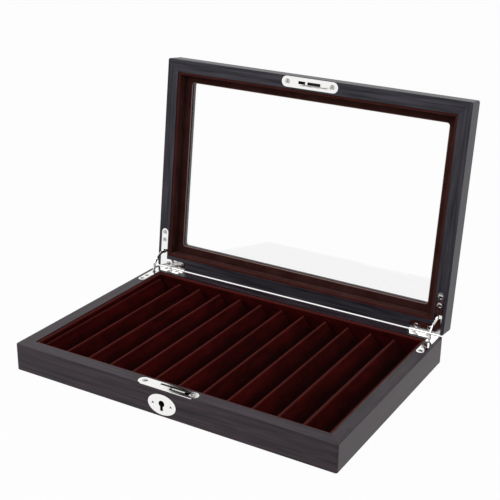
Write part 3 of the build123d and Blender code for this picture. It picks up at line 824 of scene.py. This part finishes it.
class GlueFelt(bpy.types.Operator):
    """Glues felt under the base"""

    bl_idname = "pen_chest.glue_felt"
    bl_label = "Glue felt"

    def execute(self, context):
        piece = copy_of_node("base_felt", "under_felt")
        low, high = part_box("base_felt")
        rounding = piece.modifiers.new("cut edge", "BEVEL")
        rounding.width = 0.35 * (high[2] - low[2])
        rounding.segments = 3
        apply_modifiers(piece)
        smooth(piece, 60)
        give(piece, pressed_felt("Pressed felt"), "base", ["base_felt"])
        return {"FINISHED"}


class SetStage(bpy.types.Operator):
    """Puts floor, backdrop, lights and camera around the chest"""

    bl_idname = "pen_chest.set_stage"
    bl_label = "Set stage"

    def execute(self, context):
        stage = context.scene.chest_stage
        lay_floor(stage)
        light_room(stage)
        add_light("Key light", place=(-0.7, -1.1, 1.6), size=1.6, power=stage.key_power)
        add_light("Fill light", place=(1.5, -0.6, 0.9), size=1.2, power=stage.fill_power)
        place_camera(stage)
        return {"FINISHED"}


def seen_share(tree):
    """1 for camera, mirror and glass rays, 0 for the rays that light the object."""
    rays = add_node(tree, "ShaderNodeLightPath").outputs
    share = rays["Is Camera Ray"]
    for kind in ("Is Glossy Ray", "Is Transmission Ray"):
        share = add_node(tree, "ShaderNodeMath", {0: share, 1: rays[kind]}, operation="MAXIMUM")
    return share


def lay_floor(stage):
    colours = bpy.context.scene.chest_colours
    deselect()
    bpy.ops.mesh.primitive_plane_add(size=FLOOR_SIZE * MM, location=(0, 0, -FLOOR_GAP * MM))
    floor = bpy.context.object
    floor.name = "floor"
    material, tree = new_material("Paper sweep")
    paper = add_node(tree, "ShaderNodeBsdfDiffuse", {"Color": tuple(colours.floor)})
    white = add_node(tree, "ShaderNodeEmission", {"Color": (1, 1, 1, 1), "Strength": 1.0})
    share = add_node(tree, "ShaderNodeMath", {0: seen_share(tree), 1: stage.floor_white},
                     operation="MULTIPLY")
    mixed = add_node(tree, "ShaderNodeMixShader", {0: share, 1: paper, 2: white})
    # seen from below, the sweep is left out, so that the chest's underside can be looked at
    side = add_node(tree, "ShaderNodeNewGeometry").outputs["Backfacing"]
    nothing = add_node(tree, "ShaderNodeBsdfTransparent")
    one_sided = add_node(tree, "ShaderNodeMixShader", {0: side, 1: mixed, 2: nothing})
    floor.data.materials.append(finish_material(material, tree, one_sided))


def light_room(stage):
    """A plain room: white where it is seen, softer where it lights, dark behind the camera."""
    world = bpy.data.worlds.new("Room")
    bpy.context.scene.world = world
    world.use_nodes = True
    tree = world.node_tree
    tree.nodes.clear()
    strength = add_node(tree, "ShaderNodeMapRange",
                        {"Value": seen_share(tree), "To Min": stage.ambient, "To Max": 1.0})
    ray = add_node(tree, "ShaderNodeTexCoord").outputs["Generated"]
    way = add_node(tree, "ShaderNodeSeparateXYZ", {"Vector": ray}).outputs
    front = add_node(tree, "ShaderNodeMapRange", {"Value": way["Y"], "From Min": -0.2, "From Max": -0.7})
    above = add_node(tree, "ShaderNodeMapRange", {"Value": way["Z"], "From Min": 0.1, "From Max": 0.35})
    behind = add_node(tree, "ShaderNodeMath", {0: front, 1: above}, operation="MULTIPLY")
    dark = add_node(tree, "ShaderNodeMapRange",
                    {"Value": behind, "To Min": 1.0, "To Max": stage.room_dark})
    lit = add_node(tree, "ShaderNodeMath", {0: strength, 1: dark}, operation="MULTIPLY")
    room = add_node(tree, "ShaderNodeBackground", {"Color": (1, 1, 1, 1), "Strength": lit})
    add_node(tree, "ShaderNodeOutputWorld", {"Surface": room})


def add_light(name, place, size, power):
    """A square soft box that faces the chest."""
    lamp = bpy.data.lights.new(name, "AREA")
    lamp.size = size
    lamp.energy = power
    light = bpy.data.objects.new(name, lamp)
    bpy.context.scene.collection.objects.link(light)
    light.location = place
    aim = CHEST_MIDDLE - Vector(place)
    light.rotation_euler = aim.to_track_quat("-Z", "Y").to_euler()


def place_camera(stage):
    """The camera, turned and framed as the fitted view asks."""
    a, e, roll = stage.azimuth, stage.elevation, stage.roll
    back = Vector((sin(a) * cos(e), -cos(a) * cos(e), sin(e)))
    right = Vector((cos(a), sin(a), 0))
    up = back.cross(right)
    tilted_right = cos(roll) * right + sin(roll) * up
    tilted_up = cos(roll) * up - sin(roll) * right
    target = Vector((stage.target_x, 0, stage.target_z))
    data = bpy.data.cameras.new("Camera")
    camera = bpy.data.objects.new("Camera", data)
    bpy.context.scene.collection.objects.link(camera)
    turn = Matrix((tilted_right, tilted_up, back)).transposed().to_4x4()
    camera.matrix_world = Matrix.Translation(target + back * stage.distance) @ turn
    data.sensor_width = SENSOR_WIDTH
    data.lens = stage.focal_pixels / IMAGE_WIDTH * SENSOR_WIDTH
    data.shift_x = (IMAGE_WIDTH / 2 - stage.centre_x) / IMAGE_WIDTH
    data.shift_y = (stage.centre_y - IMAGE_WIDTH / 2) / IMAGE_WIDTH
    data.clip_start = 0.01
    bpy.context.scene.camera = camera
    bpy.context.scene.view_settings.view_transform = "Standard"


class ChestPanel(bpy.types.Panel):
    """Lists the steps that dress the chest"""

    bl_idname = "VIEW3D_PT_pen_chest"
    bl_label = "Pen chest"
    bl_space_type = "VIEW_3D"
    bl_region_type = "UI"
    bl_category = "Pen chest"

    def draw(self, context):
        for group in (context.scene.chest_colours, context.scene.lining_sizes, context.scene.chest_stage):
            box = self.layout.box()
            for name in group.__annotations__:
                box.prop(group, name)
        for operator in STEPS:
            self.layout.operator(operator.bl_idname)


STEPS = (SetStage, PaintWood, PlateMetal, SetGlass, LayTrayVelvet, WrapLiners, WrapWindowFrame, GlueFelt)
GROUPS = (ChestColours, LiningSizes, StageSettings)


def register():
    for cls in GROUPS + STEPS + (ChestPanel,):
        bpy.utils.register_class(cls)
    bpy.types.Scene.chest_colours = PointerProperty(type=ChestColours)
    bpy.types.Scene.lining_sizes = PointerProperty(type=LiningSizes)
    bpy.types.Scene.chest_stage = PointerProperty(type=StageSettings)


def unregister():
    del bpy.types.Scene.chest_stage
    del bpy.types.Scene.lining_sizes
    del bpy.types.Scene.chest_colours
    for cls in reversed(GROUPS + STEPS + (ChestPanel,)):
        bpy.utils.unregister_class(cls)


def main():
    register()
    bpy.ops.pen_chest.set_stage()
    bpy.ops.pen_chest.paint_wood()
    bpy.ops.pen_chest.plate_metal()
    bpy.ops.pen_chest.set_glass()
    bpy.ops.pen_chest.lay_tray_velvet()
    bpy.ops.pen_chest.wrap_liners()
    bpy.ops.pen_chest.wrap_window_frame()
    bpy.ops.pen_chest.glue_felt()


if __name__ == "__main__":
    main()
